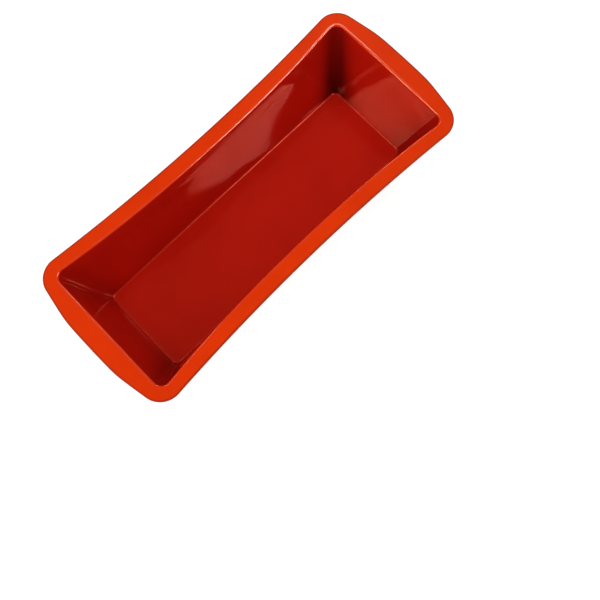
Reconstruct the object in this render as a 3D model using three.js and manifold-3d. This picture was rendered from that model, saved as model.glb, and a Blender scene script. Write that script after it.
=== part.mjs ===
// Soap loaf mould: an open, waisted silicone trough with a wide flat rim and six stiffening ribs.
// Millimetres. Origin at the middle of the flat base, +X along the loaf, +Y across it, +Z up.
//
// The basin (floor and four drafted walls) is one closed solid. The rim lies on top of its walls, and
// three ribs on each long side stand between the base plane and the underside of the rim.
import * as THREE from 'three';
import { mergeVertices } from 'three/addons/utils/BufferGeometryUtils.js';
import Module from 'manifold-3d';

// ---------------------------------------------------------------- driving dimensions

// Cavity: a rectangular floor, and an opening whose long sides curve inwards to a waist.
const CAVITY_DEPTH = 60.6;
const FLOOR_LENGTH = 237.4;
const FLOOR_WIDTH = 72.0;
const FLOOR_CORNER_RADIUS = 5.0;
const FLOOR_EDGE_RADIUS = 1.2;
const OPENING_LENGTH = 260.0;
const OPENING_WAIST = 88.2; // width of the opening at mid length
const OPENING_FLARE = 7.8; // each long side lies this much further out at the ends than at the waist
const OPENING_FLARE_POWER = 2.2; // how late along the length the flare comes
const OPENING_CORNER_RADIUS = 6.0;

// Walls and base.
const WALL_THICKNESS = 2.2;
const FLOOR_THICKNESS = 2.2;
const BASE_CORNER_RADIUS = 8.0;
const BASE_EDGE_RADIUS = 2.5;

// Rim: a flat band round the opening, wider at the ends, with bluntly pointed ends.
const RIM_THICKNESS = 2.4;
const RIM_SIDE_WIDTH = 11.5; // beside the waist of the opening
const RIM_END_WIDTH = 14.6;
const RIM_FLARE = 7.0; // as OPENING_FLARE, for the rim's outer edge
const RIM_FLARE_POWER = 2.0;
const RIM_CORNER_RADIUS = 15.5;
const RIM_END_FLAT = 48.0; // width of the straight middle of each end
const RIM_END_SLOPE = 0.19; // how steeply the end falls back on both sides of that middle
const RIM_END_SOFTNESS = 7.0; // length over which the straight middle turns into the slope
const RIM_EDGE_RADIUS = 0.8; // both outer edges
const LIP_RADIUS = 0.6; // edge between the rim's top and the cavity

// Ribs: thin plates square to the long walls.
const RIB_SPACING = 92.0;
const RIBS_PER_SIDE = 3;
const RIB_THICKNESS = 1.5;
const RIB_FLARE = 2.1; // how far the rib's edge swings out to meet the rim
const RIB_FLARE_RADIUS = 7.0;
const RIB_SETBACK = 1.0; // the rib's tip stays this far inside the rim's outer edge
const RIB_CLEARANCE = 0.3; // between a rib and the wall that it stands on

// Fineness of the outlines, per quarter turn or quarter outline.
const END_STEPS = 6;
const CORNER_STEPS = 7;
const SIDE_STEPS = 10;
const FILLET_STEPS = 3;
const EDGE_STEPS = 2;
const RIB_FLARE_STEPS = 5;

// ---------------------------------------------------------------- derived levels and widths

const HEIGHT = FLOOR_THICKNESS + CAVITY_DEPTH;
const RIM_SEAT = HEIGHT - RIM_THICKNESS; // underside of the rim, top of the walls
const WALL_DRAFT = Math.atan((OPENING_WAIST - FLOOR_WIDTH) / 2 / CAVITY_DEPTH);

// ---------------------------------------------------------------- outlines

// An outline is described by half sizes: where its ends and its waist lie, how its long sides flare,
// how its ends fall back, and the radius that joins the two.
const floorOutline = {
  end: FLOOR_LENGTH / 2,
  waist: FLOOR_WIDTH / 2,
  corner: FLOOR_CORNER_RADIUS,
};
const openingOutline = {
  end: OPENING_LENGTH / 2,
  waist: OPENING_WAIST / 2,
  flare: OPENING_FLARE,
  power: OPENING_FLARE_POWER,
  corner: OPENING_CORNER_RADIUS,
};
const baseOutline = {
  ...grown(floorOutline, WALL_THICKNESS),
  corner: BASE_CORNER_RADIUS,
};
const rimOutline = {
  end: openingOutline.end + RIM_END_WIDTH,
  waist: openingOutline.waist + RIM_SIDE_WIDTH,
  flare: RIM_FLARE,
  power: RIM_FLARE_POWER,
  corner: RIM_CORNER_RADIUS,
  flat: RIM_END_FLAT / 2,
  slope: RIM_END_SLOPE,
};

function grown(outline, margin) {
  return {
    ...outline,
    end: outline.end + margin,
    waist: outline.waist + margin,
    corner: outline.corner + margin,
  };
}

// Half width of the long side at x, and its slope there.
function sideCurve({ end, waist, flare = 0, power = 2 }, x) {
  const share = x / end;
  return {
    at: waist + flare * share ** power,
    slope: (flare * power * share ** (power - 1)) / end,
  };
}

// Half length of the end at y, and its slope there: straight in the middle, then falling back.
function endCurve({ end, flat = 0, slope = 0 }, y) {
  const fallen = (v) => (slope * (v + Math.hypot(v, RIM_END_SOFTNESS))) / 2;
  const past = y - flat;
  return {
    at: end - fallen(past) + fallen(-flat),
    slope: (-slope * (1 + past / Math.hypot(past, RIM_END_SOFTNESS))) / 2,
  };
}

// The corner arc that touches both curves: its centre, and the angles where it leaves them.
function cornerArc(outline) {
  const radius = outline.corner;
  let x = outline.end - radius;
  let y = outline.waist - radius;
  let from = 0;
  let to = Math.PI / 2;
  for (let i = 0; i < 40; i++) {
    const side = sideCurve(outline, x + radius * Math.cos(to));
    const end = endCurve(outline, y + radius * Math.sin(from));
    from = Math.atan(-end.slope);
    to = Math.PI / 2 + Math.atan(side.slope);
    x = end.at - radius * Math.cos(from);
    y = side.at - radius * Math.sin(to);
  }
  return { x, y, radius, from, to };
}

// The whole outline as a closed, counter-clockwise list of points.
function outlinePoints(outline) {
  const arc = cornerArc(outline);
  const arcPoint = (angle) => [
    arc.x + arc.radius * Math.cos(angle),
    arc.y + arc.radius * Math.sin(angle),
  ];
  const endStop = arcPoint(arc.from)[1];
  const sideStart = arcPoint(arc.to)[0];
  const quarter = [];
  for (let i = 0; i < END_STEPS; i++) {
    const y = (endStop * i) / END_STEPS;
    quarter.push([endCurve(outline, y).at, y]);
  }
  for (let i = 0; i < CORNER_STEPS; i++) {
    quarter.push(arcPoint(arc.from + ((arc.to - arc.from) * i) / CORNER_STEPS));
  }
  for (let i = 0; i <= SIDE_STEPS; i++) {
    const x = sideStart * (1 - i / SIDE_STEPS);
    quarter.push([x, sideCurve(outline, x).at]);
  }
  const half = [...quarter, ...quarter.slice(0, -1).reverse().map(([x, y]) => [-x, y])];
  const otherHalf = half.slice(1, -1).reverse().map(([x, y]) => [x, -y]);
  return [...half, ...otherHalf];
}

function between(pointsA, pointsB, share) {
  return pointsA.map(([x, y], i) => [
    x + (pointsB[i][0] - x) * share,
    y + (pointsB[i][1] - y) * share,
  ]);
}

// Half width of an outline at x, read from its long side.
function halfWidthAt(points, x) {
  const i = points.findIndex((point, n) => point[1] > 0 && point[0] > x && points[n + 1][0] <= x);
  const [[x0, y0], [x1, y1]] = [points[i], points[i + 1]];
  return y0 + ((y1 - y0) * (x0 - x)) / (x0 - x1);
}

// The walls are ruled between the floor or base and the opening.
function cavityWall(z, margin = 0) {
  const share = (z - FLOOR_THICKNESS) / CAVITY_DEPTH;
  const low = outlinePoints(grown(floorOutline, margin));
  return between(low, outlinePoints(grown(openingOutline, margin)), share);
}

function outerWall(z, margin = 0) {
  const low = outlinePoints(grown(baseOutline, margin));
  const high = outlinePoints(grown(openingOutline, WALL_THICKNESS + margin));
  return between(low, high, z / HEIGHT);
}

// ---------------------------------------------------------------- solids from outlines

// Rows of an edge rounded between a level plane and a wall that leans out by WALL_DRAFT: each has its
// height above the plane and how far it lies inside the wall. A clearance moves them off the surface.
function filletRows(radius, steps, clearance = 0) {
  const rows = [];
  for (let i = 0; i <= steps; i++) {
    const turn = ((Math.PI / 2 - WALL_DRAFT) * i) / steps;
    const reach = Math.cos(turn) * Math.tan(WALL_DRAFT) + Math.sin(turn);
    rows.push({
      rise: radius * (1 - Math.cos(turn)) - clearance * Math.cos(turn),
      inset: radius * (1 / Math.cos(WALL_DRAFT) - reach) - clearance * reach,
    });
  }
  return rows;
}

// Skins a list of { points, z } rings, one after the other. Open ends are closed with a flat cap;
// a looped list joins its last ring to its first.
function skin(rings, looped = false) {
  const count = rings[0].points.length;
  const positions = rings.flatMap(({ points, z }) => points.flatMap(([x, y]) => [x, y, z]));
  const index = [];
  const bands = looped ? rings.length : rings.length - 1;
  for (let row = 0; row < bands; row++) {
    const low = row * count;
    const high = ((row + 1) % rings.length) * count;
    for (let i = 0; i < count; i++) {
      const j = (i + 1) % count;
      index.push(low + i, low + j, high + j, low + i, high + j, high + i);
    }
  }
  if (!looped) {
    const first = positions.length / 3;
    positions.push(0, 0, rings[0].z, 0, 0, rings.at(-1).z);
    const last = (rings.length - 1) * count;
    for (let i = 0; i < count; i++) {
      const j = (i + 1) % count;
      index.push(first, j, i, first + 1, last + i, last + j);
    }
  }
  const geometry = new THREE.BufferGeometry();
  geometry.setAttribute('position', new THREE.Float32BufferAttribute(positions, 3));
  geometry.setIndex(index);
  geometry.computeVertexNormals();
  return geometry;
}

// Outside of the trough from the base up to the rim, as rings.
function outsideRings(clearance = 0) {
  const rings = filletRows(BASE_EDGE_RADIUS, FILLET_STEPS, clearance).map(({ rise, inset }) => ({
    points: outerWall(rise, -inset),
    z: rise,
  }));
  const top = outerWall(RIM_SEAT, clearance / Math.cos(WALL_DRAFT));
  return [...rings, { points: top, z: RIM_SEAT }];
}

function basinGeometry() {
  const inside = filletRows(FLOOR_EDGE_RADIUS, FILLET_STEPS).map(({ rise, inset }) => ({
    points: cavityWall(FLOOR_THICKNESS + rise, -inset),
    z: FLOOR_THICKNESS + rise,
  }));
  const insideTop = { points: cavityWall(RIM_SEAT), z: RIM_SEAT };
  return skin([...outsideRings(), insideTop, ...inside.reverse()]);
}

// Rows of a quarter-round edge, from the level face to the upright one.
function quarterRound(radius) {
  const rows = [];
  for (let i = 0; i <= EDGE_STEPS; i++) {
    const turn = ((Math.PI / 2) * i) / EDGE_STEPS;
    rows.push({ rise: radius * (1 - Math.cos(turn)), inset: radius * (1 - Math.sin(turn)) });
  }
  return rows;
}

// The rim's section runs out along the underside, up the outer edge, in along the top, and down the
// lip into the cavity. The underside is divided where the wall's outer face meets it, so that the
// seat on the wall and the free overhang are two faces.
function rimGeometry() {
  const edge = quarterRound(RIM_EDGE_RADIUS).map(({ rise, inset }) => ({
    points: outlinePoints(grown(rimOutline, -inset)),
    rise,
  }));
  const lowEdge = edge.map(({ points, rise }) => ({ points, z: RIM_SEAT + rise }));
  const highEdge = edge.map(({ points, rise }) => ({ points, z: HEIGHT - rise })).reverse();
  const lip = quarterRound(LIP_RADIUS).map(({ rise, inset }) => ({
    points: cavityWall(HEIGHT - rise, inset),
    z: HEIGHT - rise,
  }));
  const seatInside = { points: cavityWall(RIM_SEAT), z: RIM_SEAT };
  const seatOutside = { points: outerWall(RIM_SEAT), z: RIM_SEAT };
  return skin([seatInside, seatOutside, ...lowEdge, ...highEdge, ...lip], true);
}

// ---------------------------------------------------------------- ribs

const ribPositions = Array.from(
  { length: RIBS_PER_SIDE },
  (_, i) => (i - (RIBS_PER_SIDE - 1) / 2) * RIB_SPACING,
);

// All ribs stand equally far out of the wall: as far as the narrowest overhang of the rim leaves them.
function ribStand() {
  const rim = outlinePoints(rimOutline);
  const wall = outerWall(RIM_SEAT);
  const overhangs = ribPositions.map((x) => halfWidthAt(rim, x) - halfWidthAt(wall, x));
  return Math.min(...overhangs) - RIB_SETBACK - RIB_FLARE;
}

// Side view of a rib at x, with the distance from the middle plane across and the height up. Its
// inner edge lies inside the trough, and its outer edge follows the wall and ends in a hollow arc.
function ribShape(x) {
  const foot = halfWidthAt(outerWall(0), x);
  const top = halfWidthAt(outerWall(RIM_SEAT), x);
  const stand = ribStand();
  const lean = Math.atan((top - foot) / RIM_SEAT);
  const turn = Math.acos(1 - (RIB_FLARE * Math.cos(lean)) / RIB_FLARE_RADIUS);
  const tangent = (RIB_FLARE_RADIUS * (Math.sin(lean + turn) - Math.sin(lean))) / Math.cos(lean);
  const centreAcross = top + stand - tangent * Math.sin(lean) + RIB_FLARE_RADIUS * Math.cos(lean);
  const centreUp = RIM_SEAT - tangent * Math.cos(lean) - RIB_FLARE_RADIUS * Math.sin(lean);
  const shape = new THREE.Shape();
  shape.moveTo(foot / 2, 0);
  shape.lineTo(foot + stand, 0);
  for (let i = 0; i < RIB_FLARE_STEPS; i++) {
    const angle = lean + (turn * i) / RIB_FLARE_STEPS;
    const across = centreAcross - RIB_FLARE_RADIUS * Math.cos(angle);
    shape.lineTo(across, centreUp + RIB_FLARE_RADIUS * Math.sin(angle));
  }
  shape.lineTo(top + stand + RIB_FLARE, RIM_SEAT);
  shape.lineTo(foot / 2, RIM_SEAT);
  return shape;
}

const wasm = await Module();
wasm.setup();

function toSolid(geometry) {
  const bare = geometry.clone();
  bare.deleteAttribute('normal');
  bare.deleteAttribute('uv');
  const merged = mergeVertices(bare);
  const vertProperties = new Float32Array(merged.attributes.position.array);
  const triVerts = new Uint32Array(merged.index.array);
  return new wasm.Manifold(new wasm.Mesh({ numProp: 3, vertProperties, triVerts }));
}

function toGeometry(solid) {
  const { vertProperties, triVerts } = solid.getMesh();
  const geometry = new THREE.BufferGeometry();
  geometry.setAttribute('position', new THREE.BufferAttribute(vertProperties, 3));
  geometry.setIndex(new THREE.BufferAttribute(triVerts, 1));
  geometry.computeVertexNormals();
  return geometry;
}

// The trough's outside as one block, larger by the ribs' clearance and running past base and walls.
function troughBlock() {
  const rings = outsideRings(RIB_CLEARANCE);
  const below = { points: rings[0].points, z: -RIM_THICKNESS };
  const above = { points: rings.at(-1).points, z: HEIGHT };
  return toSolid(skin([below, ...rings, above]));
}

const trough = troughBlock();
const sideViewToRow = new THREE.Matrix4().makeBasis(
  new THREE.Vector3(0, 1, 0),
  new THREE.Vector3(0, 0, 1),
  new THREE.Vector3(1, 0, 0),
);

function ribGeometry(x) {
  const plate = new THREE.ExtrudeGeometry(ribShape(x), { depth: RIB_THICKNESS, bevelEnabled: false });
  plate.applyMatrix4(sideViewToRow);
  plate.translate(x - RIB_THICKNESS / 2, 0, 0);
  return toGeometry(toSolid(plate).subtract(trough));
}

// ---------------------------------------------------------------- assembly

const glossy = { color: 0xb4240e, roughness: 0.28, metalness: 0 };
const satin = { color: 0xda3a0f, roughness: 0.45, metalness: 0 };
const matt = { color: 0xd8522f, roughness: 0.7, metalness: 0 };

function part(name, geometry, finish) {
  const mesh = new THREE.Mesh(geometry, new THREE.MeshStandardMaterial(finish));
  mesh.name = name;
  return mesh;
}

const mould = new THREE.Group();
mould.name = 'soap_loaf_mould';
mould.add(part('basin', basinGeometry(), glossy));
mould.add(part('rim', rimGeometry(), satin));

// The front long side is the back one turned half a turn about Z.
ribPositions.forEach((x, i) => {
  mould.add(part(`rib_back_${i + 1}`, ribGeometry(x), matt));
  const front = part(`rib_front_${i + 1}`, ribGeometry(-x), matt);
  front.rotation.z = Math.PI;
  mould.add(front);
});

export default mould;
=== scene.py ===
"""Soap loaf mould in red silicone: glossy cavity, satin rim, matt outside with six ribs.

The sizes below are millimetres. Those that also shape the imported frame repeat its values, except the
radii of the rim's edges and lip, which are larger here. Every mesh is built in millimetres, +Z up,
with the origin in the middle of the base, and is scaled to metres when made. Lamps and the table are
placed in metres.
"""

import math
from dataclasses import dataclass, replace

import bmesh
import bpy
import numpy as np
from mathutils import Matrix, Vector


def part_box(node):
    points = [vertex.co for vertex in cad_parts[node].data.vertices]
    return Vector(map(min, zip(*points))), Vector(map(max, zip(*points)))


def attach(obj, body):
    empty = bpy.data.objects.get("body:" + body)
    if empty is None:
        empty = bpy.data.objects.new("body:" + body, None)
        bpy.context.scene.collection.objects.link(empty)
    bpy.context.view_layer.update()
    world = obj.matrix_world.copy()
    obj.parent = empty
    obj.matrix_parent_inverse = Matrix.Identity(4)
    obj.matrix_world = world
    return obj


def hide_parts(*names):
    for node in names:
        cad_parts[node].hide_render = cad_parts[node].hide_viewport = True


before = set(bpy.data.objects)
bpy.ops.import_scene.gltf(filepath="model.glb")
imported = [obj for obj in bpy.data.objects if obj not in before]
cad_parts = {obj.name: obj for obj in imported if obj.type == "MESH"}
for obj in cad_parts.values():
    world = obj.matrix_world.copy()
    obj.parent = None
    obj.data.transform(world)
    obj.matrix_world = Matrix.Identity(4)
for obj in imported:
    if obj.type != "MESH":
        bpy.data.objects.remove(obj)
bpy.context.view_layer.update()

MM = 0.001

# ---------------------------------------------------------------- sizes, mm

rim_low, rim_high = (np.array(corner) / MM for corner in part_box("rim"))
HEIGHT = rim_high[2]
RIM_SEAT = rim_low[2]
RIM_END = rim_high[0]

WALL = 2.2
FLOOR_THICKNESS = 2.2
FLOOR_EDGE_RADIUS = 1.2
BASE_EDGE_RADIUS = 2.5
BASE_CORNER_RADIUS = 8.0
RIM_EDGE_RADIUS = 1.1
RIM_ROOT_RADIUS = 2.0
LIP_RADIUS = 0.9
RIM_SIDE_WIDTH = 11.5
RIM_END_BEND = 7.0
BOX_CLEARANCE = 0.01

# The soft inner walls wave by about SAG, and the long ones bow out by SAG * BOW at mid-height. Both
# set in over SAG_FADE below the seam, and the floor has FLOOR_SAG times as much.
SAG = 0.95
BOW = 1.35
SAG_FADE = 12.0
FLOOR_SAG = 0.5

# Shade is painted into the cavity's upright corners, darker the deeper they are: how far that painted
# shade reaches along the walls at most, which share of this is left where it fades out, how strong it
# is in the +X+Y, -X+Y, -X-Y and +X-Y corner, and which share of that the top of each corner has.
PAINTED_SHADE_WIDTH = 15.0
PAINTED_SHADE_LEAST = 0.3
PAINTED_SHADE_DEPTHS = (1.0, 0.3, 0.6, 0.5)
PAINTED_SHADE_TOP = 0.6

# How worn the rounded edges are, from 0 to 1. On the rim's edges this is painted shade that darkens
# them, not wear.
BASE_EDGE_WORN = 0.6
RIM_EDGE_SHADE = 0.8
FLOOR_EDGE_WORN = 1.0

RIB_SPACING = 92.0
RIB_THICKNESS = 1.5
RIB_STAND = 5.8
RIB_FLARE = 2.1
RIB_FLARE_RADIUS = 7.0
RIB_ROOT_RADIUS = 0.9
RIB_EDGE_RADIUS = 0.45
RIB_SINK = 0.5

MARK_X = 69.0
MARK_ROW_START = 30.5
MARK_RINGS = 3
MARK_PITCH = 15.0
MARK_RADIUS = 5.2
MARK_LINE = 0.7
MARK_DEPTH = 0.35
MARK_BAR_ROWS = 2
MARK_BARS = 5
MARK_BAR_LENGTH = 6.0
MARK_BAR_STEP = 9.0
MARK_BAR_PITCH = 5.5

# Edges that turn by more than this are shaded as sharp.
SHARP = math.radians(40)

# Fineness of every outline, per quarter, and rounds of correction that fit its corners.
END_STEPS = 26
CORNER_STEPS = 18
SIDE_STEPS = 64
FIT_ROUNDS = 40

# Fineness of the walls, the mouth, the rounded edges and the hollow under the rim.
OUTSIDE_RINGS = 26
INSIDE_RINGS = 40
MOUTH_RINGS = 7
FILLET_STEPS = 8
RIM_EDGE_STEPS = 6
HOLLOW_RINGS = 9

# How a flat floor or base is divided from its middle to its edge, the rim's underside from the wall
# outwards, and its top from the edge inwards.
SHRINK = (0.03, 0.12, 0.25, 0.4, 0.55, 0.7, 0.8, 0.88, 0.94, 0.98)
UNDERSIDE_SHARES = (0.08, 0.5, 0.92)
TOP_SHARES = (0.06, 0.35, 0.65, 0.94)

# Fineness of a rib: its roundings in plan, its lower edge, its straight part and its flare.
RIB_BEND_POINTS = 7
RIB_EDGE_STEPS = 4
RIB_ROWS = 14
RIB_FLARE_ROWS = 9

# Points of the marks' rings and dots.
RING_POINTS = 48
DOT_POINTS = 24


# ---------------------------------------------------------------- outlines

@dataclass(frozen=True)
class Outline:
    """Half sizes of a waisted rectangle: its ends, its waist, the flare of its long sides, how its
    ends fall back past their straight middle, and the radius of its corners."""
    end: float
    waist: float
    corner: float
    flare: float = 0.0
    power: float = 2.0
    flat: float = 0.0
    slope: float = 0.0

    def grown(self, margin):
        """The same outline, moved out by a margin all round."""
        return replace(self, end=self.end + margin, waist=self.waist + margin,
                       corner=self.corner + margin)

    def side(self, x):
        """Half width of the long side at x, and its slope there."""
        share = x / self.end
        at = self.waist + self.flare * share ** self.power
        return at, self.flare * self.power * share ** (self.power - 1) / self.end

    def end_at(self, y):
        """Half length of the end at y, and its slope there."""
        def fallen(v):
            return self.slope * (v + np.hypot(v, RIM_END_BEND)) / 2
        past = y - self.flat
        at = self.end - fallen(past) + fallen(-self.flat)
        return at, -self.slope * (1 + past / np.hypot(past, RIM_END_BEND)) / 2

    def points(self):
        """The whole outline, counterclockwise from +X. Each corner is an arc that meets the end and
        the side without a kink, which rounds of correction find."""
        r = self.corner
        x, y = self.end - r, self.waist - r
        start, stop = 0.0, math.pi / 2
        for _ in range(FIT_ROUNDS):
            side_y, side_slope = self.side(x + r * math.cos(stop))
            end_x, end_slope = self.end_at(y + r * math.sin(start))
            start, stop = math.atan(-end_slope), math.pi / 2 + math.atan(side_slope)
            x, y = end_x - r * math.cos(start), side_y - r * math.sin(stop)
        ys = np.linspace(0, y + r * math.sin(start), END_STEPS, endpoint=False)
        turn = np.linspace(start, stop, CORNER_STEPS, endpoint=False)
        xs = np.linspace(x + r * math.cos(stop), 0, SIDE_STEPS + 1)
        quarter = np.concatenate([
            np.stack([self.end_at(ys)[0], ys], 1),
            np.stack([x + r * np.cos(turn), y + r * np.sin(turn)], 1),
            np.stack([xs, self.side(xs)[0]], 1),
        ])
        half = np.concatenate([quarter, (quarter[:-1] * (-1, 1))[::-1]])
        return np.concatenate([half, (half[1:-1] * (1, -1))[::-1]])


FLOOR = Outline(end=118.7, waist=36.0, corner=5.0)
OPENING = Outline(end=130.0, waist=44.1, corner=6.0, flare=7.8, power=2.2)
BASE = replace(FLOOR.grown(WALL), corner=BASE_CORNER_RADIUS)
RIM = Outline(end=RIM_END, waist=OPENING.waist + RIM_SIDE_WIDTH, corner=15.5, flare=7.0,
              flat=24.0, slope=0.19)
# The waist is set so that the rim stays about BOX_CLEARANCE inside the frame's box on each side.
RIM = replace(RIM, waist=RIM.waist + rim_high[1] - BOX_CLEARANCE - RIM.points()[:, 1].max())
CAVITY_DEPTH = HEIGHT - FLOOR_THICKNESS
DRAFT = math.atan((OPENING.waist - FLOOR.waist) / CAVITY_DEPTH)


def cavity_wall(z, margin=0.0):
    """The cavity's outline at height z, moved out by a margin."""
    share = (z - FLOOR_THICKNESS) / CAVITY_DEPTH
    low, high = FLOOR.grown(margin).points(), OPENING.grown(margin).points()
    return low + (high - low) * share


def outer_wall(z, margin=0.0):
    """The trough's outside outline at height z, moved out by a margin."""
    low, high = BASE.grown(margin).points(), OPENING.grown(WALL + margin).points()
    return low + (high - low) * z / HEIGHT


def half_width(points, x):
    """Half width at x of an outline's long side."""
    side = points[END_STEPS + CORNER_STEPS:END_STEPS + CORNER_STEPS + 2 * SIDE_STEPS + 1]
    return np.interp(x, side[::-1, 0], side[::-1, 1])


# ---------------------------------------------------------------- skins

# Places of the finishes in every mesh's list of materials.
INSIDE, BAND, OUTSIDE, LIP = 0, 1, 2, 3


class Skin:
    """Rings of points, laid one after the other up the outside and down the cavity. Each ring says
    which finish the band before it has, how far it may sag, how worn it is (on the rim's edges, how
    much shade is painted there instead), and how much shade is painted into its corners."""

    def __init__(self):
        self.rings, self.finish, self.sag, self.worn, self.painted_shade = [], [], [], [], []

    def add(self, points, z, finish, sag=0.0, worn=0.0, painted_shade=0.0):
        ring = np.empty((len(points), 3))
        ring[:, :2], ring[:, 2] = points, z
        self.rings.append(ring)
        self.finish.append(finish)
        self.sag.append(sag)
        self.worn.append(worn)
        self.painted_shade.append(painted_shade)

    def mesh(self, name, looped=False):
        """Joins the rings. A looped skin's last ring meets its first; otherwise both are filled."""
        rings = np.array(self.rings)
        around = np.roll(rings, -1, 1) - np.roll(rings, 1, 1)
        onward = np.gradient(rings, axis=0)
        normal = np.cross(around, onward)
        normal /= np.linalg.norm(normal, axis=2, keepdims=True) + 1e-12
        rings = rings + normal * (np.array(self.sag)[:, None] * waves(rings))[:, :, None]
        rows, count = rings.shape[:2]
        verts = rings.reshape(-1, 3)
        worn = np.repeat(self.worn, count)
        # Painted shade for the cavity's upright corners, fading away from the middle of each corner.
        corner = np.hypot(*(rings - rings[:, nearest_corner(count)])[:, :, :2].transpose(2, 0, 1))
        depth = np.array(self.painted_shade)[:, None]
        reach = PAINTED_SHADE_WIDTH * (PAINTED_SHADE_LEAST + (1 - PAINTED_SHADE_LEAST) * depth)
        painted_shade = depth * np.exp(-(corner / reach) ** 2)
        painted_shade = (painted_shade * np.repeat(PAINTED_SHADE_DEPTHS, count // 4)).ravel()
        faces, finishes = [], []
        for row in range(rows if looped else rows - 1):
            low, high = row * count, (row + 1) % rows * count
            for i in range(count):
                j = (i + 1) % count
                faces.append((low + i, low + j, high + j, high + i))
                finishes.append(self.finish[(row + 1) % rows])
        if not looped:
            last = (rows - 1) * count
            verts = np.concatenate([verts, [rings[0].mean(0), rings[-1].mean(0)]])
            worn, painted_shade = np.append(worn, (0, 0)), np.append(painted_shade, (0, 0))
            for i in range(count):
                j = (i + 1) % count
                faces.append((len(verts) - 2, j, i))
                faces.append((len(verts) - 1, last + i, last + j))
                finishes += [self.finish[0], self.finish[-1]]
        piece = make_mesh(name, verts, faces, finishes)
        for label, values in (("worn", worn), ("painted_shade", painted_shade)):
            mask = piece.data.attributes.new(label, "FLOAT", "POINT")
            mask.data.foreach_set("value", values)
        return piece


def nearest_corner(count):
    """For each point of a ring, the index of the middle of the corner in its own quarter."""
    quarter = count // 4
    middle = END_STEPS + CORNER_STEPS // 2
    middles = np.array([middle, 2 * quarter - middle, 2 * quarter + middle, count - middle])
    return np.repeat(middles, quarter)


def waves(points):
    """Gentle unevenness of a soft wall, about one unit high, with no two spots alike, and the bow
    of the long walls, which fades out towards floor, rim and ends."""
    x, y, z = points[..., 0], points[..., 1], points[..., 2]
    height = (z - FLOOR_THICKNESS) / CAVITY_DEPTH
    return (0.40 * np.sin(x / 16 + z / 12 + 0.6) * np.cos(y / 15 - z / 22)
            + 0.35 * np.sin(x / 29 - z / 14 + y / 21 + 0.4)
            + 0.12 * np.cos(x / 8 + z / 10 - y / 7 + 1.0)
            + BOW * (1 - (x / OPENING.end) ** 4) * np.sin(math.pi * height))


def make_mesh(name, verts, faces, finishes):
    """A smooth object from points in millimetres, with a finish for each face."""
    mesh = bpy.data.meshes.new(name)
    mesh.from_pydata((np.asarray(verts) * MM).tolist(), [], faces)
    for material in (gloss, satin, matt, polished):
        mesh.materials.append(material)
    mesh.polygons.foreach_set("material_index", finishes)
    mesh.polygons.foreach_set("use_smooth", [True] * len(faces))
    mesh.update()
    mesh.set_sharp_from_angle(angle=SHARP)
    obj = bpy.data.objects.new(name, mesh)
    bpy.context.collection.objects.link(obj)
    return obj


def wall_fillet(radius, steps):
    """Edge rounded between a level plane and a wall that leans out by DRAFT: (rise, inset) pairs."""
    for turn in np.linspace(0, math.pi / 2 - DRAFT, steps + 1):
        reach = math.cos(turn) * math.tan(DRAFT) + math.sin(turn)
        yield radius * (1 - math.cos(turn)), radius * (1 / math.cos(DRAFT) - reach)


def quarter_round(radius, steps):
    """Square edge rounded from its level face to its upright one: (rise, inset) pairs."""
    for turn in np.linspace(0, math.pi / 2, steps + 1):
        yield radius * (1 - math.cos(turn)), radius * (1 - math.sin(turn))


# ---------------------------------------------------------------- pieces

# Height at which the basin ends and the rim begins, below the hollow under the rim.
SEAM = RIM_SEAT - RIM_ROOT_RADIUS


def outside_ring(z):
    """The trough's outside at height z, with the rounded edge of the base."""
    inset = 0.0
    if z < BASE_EDGE_RADIUS * (1 - math.sin(DRAFT)):
        turn = math.acos(1 - z / BASE_EDGE_RADIUS)
        reach = math.cos(turn) * math.tan(DRAFT) + math.sin(turn)
        inset = BASE_EDGE_RADIUS * (1 / math.cos(DRAFT) - reach)
    return outer_wall(z, -inset)


def basin():
    """The trough, from the middle of its base up the outside and down to the middle of its floor."""
    skin = Skin()
    base_edge = [rise for rise, _ in wall_fillet(BASE_EDGE_RADIUS, FILLET_STEPS)]
    for share in SHRINK:
        skin.add(outside_ring(0) * share, 0, OUTSIDE)
    for z in base_edge:
        skin.add(outside_ring(z), z, OUTSIDE, worn=BASE_EDGE_WORN)
    for z in np.linspace(base_edge[-1], SEAM, OUTSIDE_RINGS)[1:]:
        skin.add(outside_ring(z), z, OUTSIDE)
    floor_edge = list(wall_fillet(FLOOR_EDGE_RADIUS, FILLET_STEPS))
    edge_rise = floor_edge[-1][0]
    for z in np.linspace(SEAM, FLOOR_THICKNESS + edge_rise, INSIDE_RINGS)[:-1]:
        fade = min(1.0, (SEAM - z) / SAG_FADE)
        painted_shade = PAINTED_SHADE_TOP + (1 - PAINTED_SHADE_TOP) * (SEAM - z) / SEAM
        skin.add(cavity_wall(z), z, INSIDE, -SAG * fade, painted_shade=painted_shade)
    # The floor's rounded edge carries the corners' painted shade too, strongest where it meets the
    # wall.
    for rise, inset in floor_edge[::-1]:
        z = FLOOR_THICKNESS + rise
        skin.add(cavity_wall(z, -inset), z, INSIDE, -SAG * FLOOR_SAG, worn=FLOOR_EDGE_WORN,
                 painted_shade=rise / edge_rise)
    floor = cavity_wall(FLOOR_THICKNESS, -floor_edge[0][1])
    for share in SHRINK[::-1]:
        skin.add(floor * share, FLOOR_THICKNESS, INSIDE, -SAG * FLOOR_SAG)
    return skin.mesh("moulded_basin")


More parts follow.
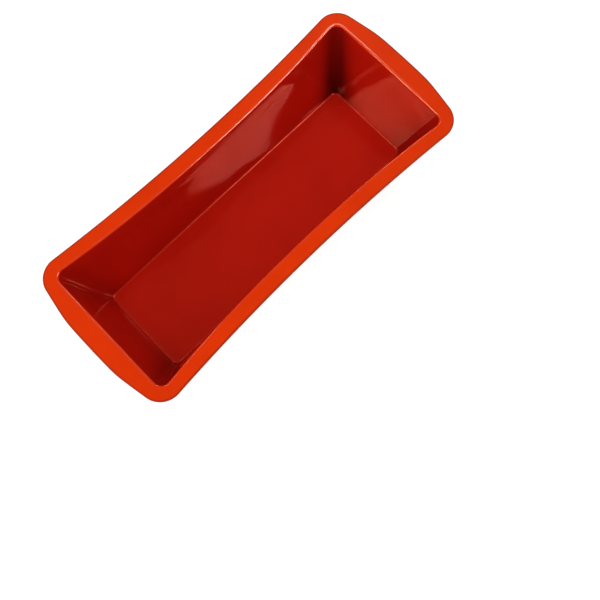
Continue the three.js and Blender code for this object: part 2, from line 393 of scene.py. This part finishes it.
def rim():
    """The band, from the seam out under it, round its edge, back over the top and into the mouth."""
    skin = Skin()
    for turn in np.linspace(0, math.pi / 2 + DRAFT, HOLLOW_RINGS):
        out = RIM_ROOT_RADIUS * (1 - math.cos(turn))
        z = min(SEAM + RIM_ROOT_RADIUS * math.sin(turn), RIM_SEAT)
        skin.add(outer_wall(z, out), z, OUTSIDE)
    edge = list(quarter_round(RIM_EDGE_RADIUS, RIM_EDGE_STEPS))
    root = outer_wall(RIM_SEAT, RIM_ROOT_RADIUS)
    brink = RIM.grown(-edge[0][1]).points()
    for share in UNDERSIDE_SHARES:
        skin.add(root + (brink - root) * share, RIM_SEAT, BAND)
    # The rim's rounded edges get painted shade through the edge mask.
    for rise, inset in edge:
        skin.add(RIM.grown(-inset).points(), RIM_SEAT + rise, BAND, worn=RIM_EDGE_SHADE)
    for rise, inset in edge[::-1]:
        skin.add(RIM.grown(-inset).points(), HEIGHT - rise, BAND, worn=RIM_EDGE_SHADE)
    lip = list(quarter_round(LIP_RADIUS, FILLET_STEPS))
    mouth = cavity_wall(HEIGHT, lip[0][1])
    for share in TOP_SHARES:
        skin.add(brink + (mouth - brink) * share, HEIGHT, BAND)
    for rise, inset in lip:
        skin.add(cavity_wall(HEIGHT - rise, inset), HEIGHT - rise, LIP)
    for z in np.linspace(HEIGHT - LIP_RADIUS, SEAM, MOUTH_RINGS)[1:]:
        skin.add(cavity_wall(z), z, INSIDE, painted_shade=PAINTED_SHADE_TOP)
    return skin.mesh("moulded_rim", looped=True)


def rib_section(stand, thin=0.0):
    """Plan of a rib at one height: (distance out from the wall, distance along it), with hollow
    roots that run out onto the wall and a rounded outer edge."""
    half = RIB_THICKNESS / 2 - thin
    bend = np.linspace(0, math.pi / 2, RIB_BEND_POINTS)
    root = np.stack([RIB_ROOT_RADIUS * (1 - np.cos(bend)),
                     half + RIB_ROOT_RADIUS * (1 - np.sin(bend))], 1)
    tip = np.stack([stand - thin - RIB_EDGE_RADIUS * (1 - np.sin(bend)),
                    half - RIB_EDGE_RADIUS * (1 - np.cos(bend))], 1)
    side = np.concatenate([[(-RIB_SINK, root[0, 1])], root, tip])
    return np.concatenate([side, (side * (1, -1))[::-1]])


def rib(name, x, half_turn):
    """A rib on the back wall at x, or on the front wall at -x, where half a turn about Z puts it.
    Its outer edge runs along the wall and then flares out in an arc up to the rim."""
    foot = half_width(outer_wall(0), x)
    top = half_width(outer_wall(RIM_SEAT), x)
    lean = math.atan((top - foot) / RIM_SEAT)
    turn = math.acos(1 - RIB_FLARE * math.cos(lean) / RIB_FLARE_RADIUS)
    tangent = RIB_FLARE_RADIUS * (math.sin(lean + turn) - math.sin(lean)) / math.cos(lean)
    flare_from = RIM_SEAT - tangent * math.cos(lean)
    rows = list(quarter_round(RIB_EDGE_RADIUS, RIB_EDGE_STEPS))
    rows += [(z, 0.0) for z in np.linspace(RIB_EDGE_RADIUS, flare_from, RIB_ROWS)[1:]]
    rows += [(z, 0.0) for z in np.linspace(flare_from, RIM_SEAT, RIB_FLARE_ROWS)[1:]]
    rows.append((RIM_SEAT + RIB_SINK, 0.0))
    verts = []
    for z, thin in rows:
        rise = min(z, RIM_SEAT) - flare_from
        flare = 0.0
        if rise > 0:
            swing = math.asin(math.sin(lean) + rise / RIB_FLARE_RADIUS)
            flare = RIB_FLARE_RADIUS * (math.cos(lean) - math.cos(swing)) - rise * math.tan(lean)
        section = rib_section(RIB_STAND + flare, thin)
        wall = outside_ring(min(z, RIM_SEAT))
        for out, along in section:
            verts.append((x + along, half_width(wall, x + along) + out, z))
    verts = np.array(verts)
    if half_turn:
        verts[:, :2] *= -1
    count = len(section)
    faces = [tuple(range(count))]
    faces.append(tuple(range(len(verts) - 1, len(verts) - count - 1, -1)))
    for row in range(len(rows) - 1):
        for i in range(count):
            j = (i + 1) % count
            low = row * count
            faces.append((low + i, low + count + i, low + count + j, low + j))
    return make_mesh(name, verts, faces, [OUTSIDE] * len(faces))


def ribs():
    """Each rib with the name of the node that it stands for."""
    for i, x in enumerate((-RIB_SPACING, 0.0, RIB_SPACING)):
        yield f"rib_back_{i + 1}", rib(f"moulded_rib_back_{i + 1}", x, False)
        yield f"rib_front_{i + 1}", rib(f"moulded_rib_front_{i + 1}", -x, True)


def mark_cutter():
    """Plain rings with a dot each and short bars, as one mesh that is cut out of the base."""
    cutter = bmesh.new()

    def prism(outer, inner=None):
        loops = [outer] if inner is None else [outer, inner]
        corners = [[cutter.verts.new((*(np.array(p) * MM), z * MM)) for p in loop]
                   for loop in loops for z in (-MARK_DEPTH, MARK_DEPTH)]
        count = len(outer)
        for i in range(count):
            j = (i + 1) % count
            cutter.faces.new((corners[0][i], corners[0][j], corners[1][j], corners[1][i]))
            if inner is not None:
                cutter.faces.new((corners[2][j], corners[2][i], corners[3][i], corners[3][j]))
                cutter.faces.new((corners[0][j], corners[0][i], corners[2][i], corners[2][j]))
                cutter.faces.new((corners[1][i], corners[1][j], corners[3][j], corners[3][i]))
        if inner is None:
            cutter.faces.new(corners[0][::-1])
            cutter.faces.new(corners[1])

    def circle(x, y, radius, count):
        turns = np.linspace(0, 2 * math.pi, count, endpoint=False)
        return [(x + radius * math.cos(t), y + radius * math.sin(t)) for t in turns]

    for n in range(MARK_RINGS):
        y = MARK_ROW_START - n * MARK_PITCH
        prism(circle(MARK_X, y, MARK_RADIUS, RING_POINTS),
              circle(MARK_X, y, MARK_RADIUS - MARK_LINE, RING_POINTS))
        prism(circle(MARK_X, y, MARK_LINE, DOT_POINTS))
    for row in range(MARK_BAR_ROWS):
        x = MARK_X - MARK_RADIUS - MARK_BAR_PITCH * (row + 1)
        for n in range(MARK_BARS):
            y = MARK_ROW_START - n * MARK_BAR_STEP
            low, high = y - MARK_BAR_LENGTH / 2, y + MARK_BAR_LENGTH / 2
            prism([(x, low), (x + MARK_LINE, low), (x + MARK_LINE, high), (x, high)])
    bmesh.ops.recalc_face_normals(cutter, faces=cutter.faces[:])
    mesh = bpy.data.meshes.new("mark_cutter")
    cutter.to_mesh(mesh)
    cutter.free()
    obj = bpy.data.objects.new("mark_cutter", mesh)
    bpy.context.collection.objects.link(obj)
    return obj


def engrave(piece):
    """Cuts the marks into the base."""
    cutter = mark_cutter()
    cut = piece.modifiers.new("marks", "BOOLEAN")
    cut.operation = "DIFFERENCE"
    cut.solver = "EXACT"
    cut.object = cutter
    bpy.context.view_layer.update()
    evaluated = piece.evaluated_get(bpy.context.evaluated_depsgraph_get())
    cut_mesh = bpy.data.meshes.new_from_object(evaluated)
    piece.modifiers.clear()
    piece.data = cut_mesh
    bpy.data.objects.remove(cutter)
    piece.data.set_sharp_from_angle(angle=SHARP)


# ---------------------------------------------------------------- materials

SILICONE_IOR = 1.43


class Nodes:
    """Short names for building one material's node tree. Lengths are millimetres on the object."""

    def __init__(self, name):
        self.material = bpy.data.materials.new(name)
        self.material.use_nodes = True
        self.tree = self.material.node_tree
        self.shader = self.tree.nodes["Principled BSDF"]
        self.place = self.tree.nodes.new("ShaderNodeTexCoord").outputs["Object"]

    def link(self, source, target):
        self.tree.links.new(source, target)

    def noise(self, size, detail=2.0, distortion=0.0):
        node = self.tree.nodes.new("ShaderNodeTexNoise")
        node.inputs["Scale"].default_value = 1 / (size * MM)
        node.inputs["Detail"].default_value = detail
        node.inputs["Distortion"].default_value = distortion
        self.link(self.place, node.inputs["Vector"])
        return node.outputs["Fac"]

    def specks(self, spacing, size):
        """1 inside small round flecks, 0 elsewhere."""
        node = self.tree.nodes.new("ShaderNodeTexVoronoi")
        node.inputs["Scale"].default_value = 1 / (spacing * MM)
        self.link(self.place, node.inputs["Vector"])
        return self.span(node.outputs["Distance"], size / spacing, 0.4 * size / spacing, 0, 1)

    def mask(self, name):
        """A value that the mesh carries at its points."""
        node = self.tree.nodes.new("ShaderNodeAttribute")
        node.attribute_name = name
        return node.outputs["Fac"]

    def span(self, value, low, high, to_low, to_high):
        """Maps low..high to to_low..to_high."""
        node = self.tree.nodes.new("ShaderNodeMapRange")
        for socket, number in zip(("From Min", "From Max", "To Min", "To Max"),
                                  (low, high, to_low, to_high)):
            node.inputs[socket].default_value = number
        self.link(value, node.inputs["Value"])
        return node.outputs["Result"]

    def math(self, operation, a, b):
        node = self.tree.nodes.new("ShaderNodeMath")
        node.operation = operation
        for socket, value in zip(node.inputs, (a, b)):
            if isinstance(value, float):
                socket.default_value = value
            else:
                self.link(value, socket)
        return node.outputs["Value"]

    def mix(self, share, a, b):
        node = self.tree.nodes.new("ShaderNodeMix")
        node.data_type = "RGBA"
        self.link(share, node.inputs["Factor"])
        for socket, colour in ((node.inputs["A"], a), (node.inputs["B"], b)):
            if isinstance(colour, tuple):
                socket.default_value = (*colour, 1)
            else:
                self.link(colour, socket)
        return node.outputs["Result"]

    def bump(self, *layers):
        """Stacks (height signal, depth in mm) layers into one normal."""
        normal = None
        for height, depth in layers:
            node = self.tree.nodes.new("ShaderNodeBump")
            node.inputs["Distance"].default_value = depth * MM
            node.inputs["Strength"].default_value = 1.0
            self.link(height, node.inputs["Height"])
            if normal is not None:
                self.link(normal, node.inputs["Normal"])
            normal = node.outputs["Normal"]
        self.link(normal, self.shader.inputs["Normal"])

    def finish(self, colour, roughness, tint, specular):
        """Links what varies over the surface, sets what doesn't, and gives the material."""
        self.link(colour, self.shader.inputs["Base Color"])
        self.link(roughness, self.shader.inputs["Roughness"])
        self.shader.inputs["IOR"].default_value = SILICONE_IOR
        self.shader.inputs["Specular Tint"].default_value = (*tint, 1)
        self.shader.inputs["Specular IOR Level"].default_value = specular
        return self.material


def glossy_silicone():
    """The cavity: deep red, with faint smears and specks, and painted shade that darkens its upright
    corners.
    """
    n = Nodes("silicone_gloss")
    cloud = n.span(n.noise(38, 3), 0.3, 0.7, 0, 1)
    colour = n.mix(cloud, (0.52, 0.0095, 0.0028), (0.47, 0.008, 0.0028))
    colour = n.mix(n.math("MULTIPLY", n.specks(9, 0.5), 0.12), colour, (0.7, 0.2, 0.12))
    # Painted shade: darkens the upright corners and the floor's edge near them.
    colour = n.mix(n.mask("painted_shade"), colour, (0.03, 0.001, 0.001))
    smear = n.span(n.noise(14, 4, 1.2), 0.35, 0.75, 0.05, 0.09)
    smear = n.math("ADD", smear, n.math("MULTIPLY", n.mask("worn"), 0.2))
    n.bump((n.noise(17, 2), 0.05), (n.noise(1.6, 3), 0.0015))
    return n.finish(colour, smear, (1, 0.22, 0.13), 0.5)


def rim_colour(n):
    """Bright orange-red, slightly clouded."""
    cloud = n.span(n.noise(30, 3), 0.3, 0.7, 0, 1)
    return n.mix(cloud, (0.74, 0.034, 0.0012), (0.68, 0.029, 0.001))


def satin_silicone():
    """The rim's band, with painted shade that darkens its rounded edges."""
    n = Nodes("silicone_satin")
    # Painted shade: the rim's rounded edges are darkened where the edge mask is set.
    colour = n.mix(n.math("MULTIPLY", n.mask("worn"), 0.65), rim_colour(n), (0.16, 0.02, 0.008))
    rough = n.span(n.noise(4, 4), 0.3, 0.7, 0.34, 0.44)
    n.bump((n.noise(9, 2), 0.03), (n.noise(0.35, 3), 0.006))
    return n.finish(colour, rough, (1, 0.42, 0.15), 0.08)


def polished_silicone():
    """The rounded lip of the mouth, which shines."""
    n = Nodes("silicone_lip")
    rough = n.span(n.noise(6, 3), 0.3, 0.7, 0.1, 0.2)
    n.bump((n.noise(12, 2), 0.02))
    return n.finish(rim_colour(n), rough, (1, 0.8, 0.65), 0.5)


def matt_silicone():
    """The outside and the ribs: paler, dusty, with rubbed edges."""
    n = Nodes("silicone_matt")
    cloud = n.span(n.noise(26, 4, 0.6), 0.3, 0.7, 0, 1)
    colour = n.mix(cloud, (0.74, 0.105, 0.04), (0.66, 0.082, 0.030))
    dust = n.span(n.noise(0.9, 3), 0.5, 0.8, 0, 0.25)
    colour = n.mix(dust, colour, (0.80, 0.17, 0.085))
    colour = n.mix(n.math("MULTIPLY", n.mask("worn"), 0.35), colour, (0.82, 0.16, 0.07))
    rough = n.span(n.noise(5, 3), 0.3, 0.7, 0.62, 0.78)
    n.bump((n.noise(6, 2), 0.02), (n.noise(0.4, 4), 0.025))
    return n.finish(colour, rough, (1, 0.75, 0.65), 0.4)


gloss, satin = glossy_silicone(), satin_silicone()
matt, polished = matt_silicone(), polished_silicone()


# ---------------------------------------------------------------- the mould

def stands_for(piece, node):
    """Lets a piece ride the root body in the place of one node of the frame."""
    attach(piece, "root")
    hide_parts(node)


basin_piece = basin()
engrave(basin_piece)
stands_for(basin_piece, "basin")
stands_for(rim(), "rim")
for node, piece in ribs():
    stands_for(piece, node)


# ---------------------------------------------------------------- stage, light and camera

WORLD_STRENGTH = 0.38
LAMP_DISTANCE = 1.0
BROAD_DISTANCE = 1.6
WHITE, WARM = (1, 1, 1), (1, 0.8, 0.55)

# Lamps that give reflections and no diffuse light: name, azimuth and elevation in degrees, width and
# height in metres, watts and colour.
SOFT_BOXES = (("soft_box_side", -54, 52, 0.5, 0.34, 19.8, WHITE),
              ("soft_box_end", 166, 42, 0.32, 0.32, 11.5, WARM),
              ("strip_far", 36, 50, 0.42, 0.1, 2.4, WHITE),
              ("soft_box_corner", -40, 39, 0.16, 0.16, 3.2, WHITE),
              ("soft_box_back", 106, 48, 0.12, 0.12, 1.2, WHITE))

# Broad square lamps: name, azimuth, elevation, side, watts, and whether reflections show them.
BROAD_LAMPS = (("ceiling", 0, 88, 1.6, 2.8, True),
               ("overhead", 90, 76, 1.8, 10.6, False),
               ("fill_end", 175, 20, 1.0, 9.5, False),
               ("fill_side", -90, 40, 1.2, 6.0, False))

TABLE_HALF = 3.0
TABLE_DROP = 0.0002


def area_light(name, azimuth, elevation, distance, width, height, power):
    """A flat lamp that faces the mould, in metres. Azimuth is counted from +X towards +Y."""
    a, e = math.radians(azimuth), math.radians(elevation)
    towards = Vector((math.cos(a) * math.cos(e), math.sin(a) * math.cos(e), math.sin(e)))
    data = bpy.data.lights.new(name, "AREA")
    data.shape = "RECTANGLE"
    data.size, data.size_y = width, height
    data.energy = power
    lamp = bpy.data.objects.new(name, data)
    lamp.location = towards * distance + Vector((0, 0, HEIGHT * MM))
    lamp.rotation_mode = "QUATERNION"
    lamp.rotation_quaternion = towards.to_track_quat("Z", "Y")
    bpy.context.collection.objects.link(lamp)
    return lamp


def lamps():
    """The soft boxes and the broad lamps."""
    for name, azimuth, elevation, width, height, power, colour in SOFT_BOXES:
        lamp = area_light(name, azimuth, elevation, LAMP_DISTANCE, width, height, power)
        lamp.data.color = colour
        lamp.visible_diffuse = False
    for name, azimuth, elevation, side, power, reflected in BROAD_LAMPS:
        lamp = area_light(name, azimuth, elevation, BROAD_DISTANCE, side, side, power)
        lamp.visible_glossy = reflected


def studio_world():
    """Even light all round, with a white background behind the table."""
    world = bpy.data.worlds.new("studio")
    bpy.context.scene.world = world
    world.use_nodes = True
    world.cycles_visibility.glossy = False
    tree = world.node_tree
    seen = tree.nodes.new("ShaderNodeLightPath").outputs["Is Camera Ray"]
    strength = tree.nodes.new("ShaderNodeMapRange")
    strength.inputs["To Min"].default_value = WORLD_STRENGTH
    strength.inputs["To Max"].default_value = 1.0
    tree.links.new(seen, strength.inputs["Value"])
    background = tree.nodes["Background"]
    background.inputs["Color"].default_value = (1, 1, 1, 1)
    tree.links.new(strength.outputs["Result"], background.inputs["Strength"])


def table_material():
    """Matt white, bright enough to stay white under the mould, and clear when seen from below."""
    material = bpy.data.materials.new("table")
    material.use_nodes = True
    tree = material.node_tree
    shader = tree.nodes["Principled BSDF"]
    shader.inputs["Base Color"].default_value = (0.3, 0.3, 0.3, 1)
    shader.inputs["Roughness"].default_value = 0.9
    shader.inputs["Specular IOR Level"].default_value = 0.0
    shader.inputs["Emission Color"].default_value = (1, 1, 1, 1)
    shader.inputs["Emission Strength"].default_value = 0.85
    below = tree.nodes.new("ShaderNodeNewGeometry").outputs["Backfacing"]
    choice = tree.nodes.new("ShaderNodeMixShader")
    tree.links.new(below, choice.inputs["Fac"])
    tree.links.new(shader.outputs["BSDF"], choice.inputs[1])
    tree.links.new(tree.nodes.new("ShaderNodeBsdfTransparent").outputs["BSDF"], choice.inputs[2])
    tree.links.new(choice.outputs["Shader"], tree.nodes["Material Output"].inputs["Surface"])
    return material


def make_table():
    """A square sheet just under the base."""
    mesh = bpy.data.meshes.new("table")
    corners = [(x * TABLE_HALF, y * TABLE_HALF, 0) for x, y in ((-1, -1), (1, -1), (1, 1), (-1, 1))]
    mesh.from_pydata(corners, [], [(0, 1, 2, 3)])
    mesh.materials.append(table_material())
    table = bpy.data.objects.new("table", mesh)
    table.location.z = -TABLE_DROP
    bpy.context.collection.objects.link(table)
    return table


lamps()
studio_world()
table = make_table()

# The camera stands nearly above the mould. Distance and shifts are millimetres from the middle of the
# rim's top.
CAMERA_AZIMUTH = math.radians(-47.35)
CAMERA_ELEVATION = math.radians(80.24)
CAMERA_ROLL = math.radians(2.77)
CAMERA_DISTANCE = 398.8
CAMERA_SHIFT_RIGHT = 30.8
CAMERA_SHIFT_UP = -69.2
CAMERA_LENS = 36.0
CAMERA_SENSOR = 36.0


def make_camera():
    """Turns the camera by its azimuth, elevation and roll, and stands it off the rim's top."""
    az, el, roll = CAMERA_AZIMUTH, CAMERA_ELEVATION, CAMERA_ROLL
    back = Vector((math.sin(az) * math.cos(el), -math.cos(az) * math.cos(el), math.sin(el)))
    level = Vector((math.cos(az), math.sin(az), 0))
    rise = back.cross(level)
    right = level * math.cos(roll) + rise * math.sin(roll)
    up = rise * math.cos(roll) - level * math.sin(roll)
    data = bpy.data.cameras.new("camera")
    data.lens = CAMERA_LENS
    data.sensor_width = CAMERA_SENSOR
    data.clip_start = 0.01
    camera = bpy.data.objects.new("camera", data)
    place = right * CAMERA_SHIFT_RIGHT + up * CAMERA_SHIFT_UP + back * CAMERA_DISTANCE
    camera.matrix_world = Matrix.Translation((place + Vector((0, 0, HEIGHT))) * MM) @ Matrix(
        (right, up, back)).transposed().to_4x4()
    bpy.context.collection.objects.link(camera)
    bpy.context.scene.camera = camera


make_camera()
bpy.context.scene.view_settings.view_transform = "Standard"
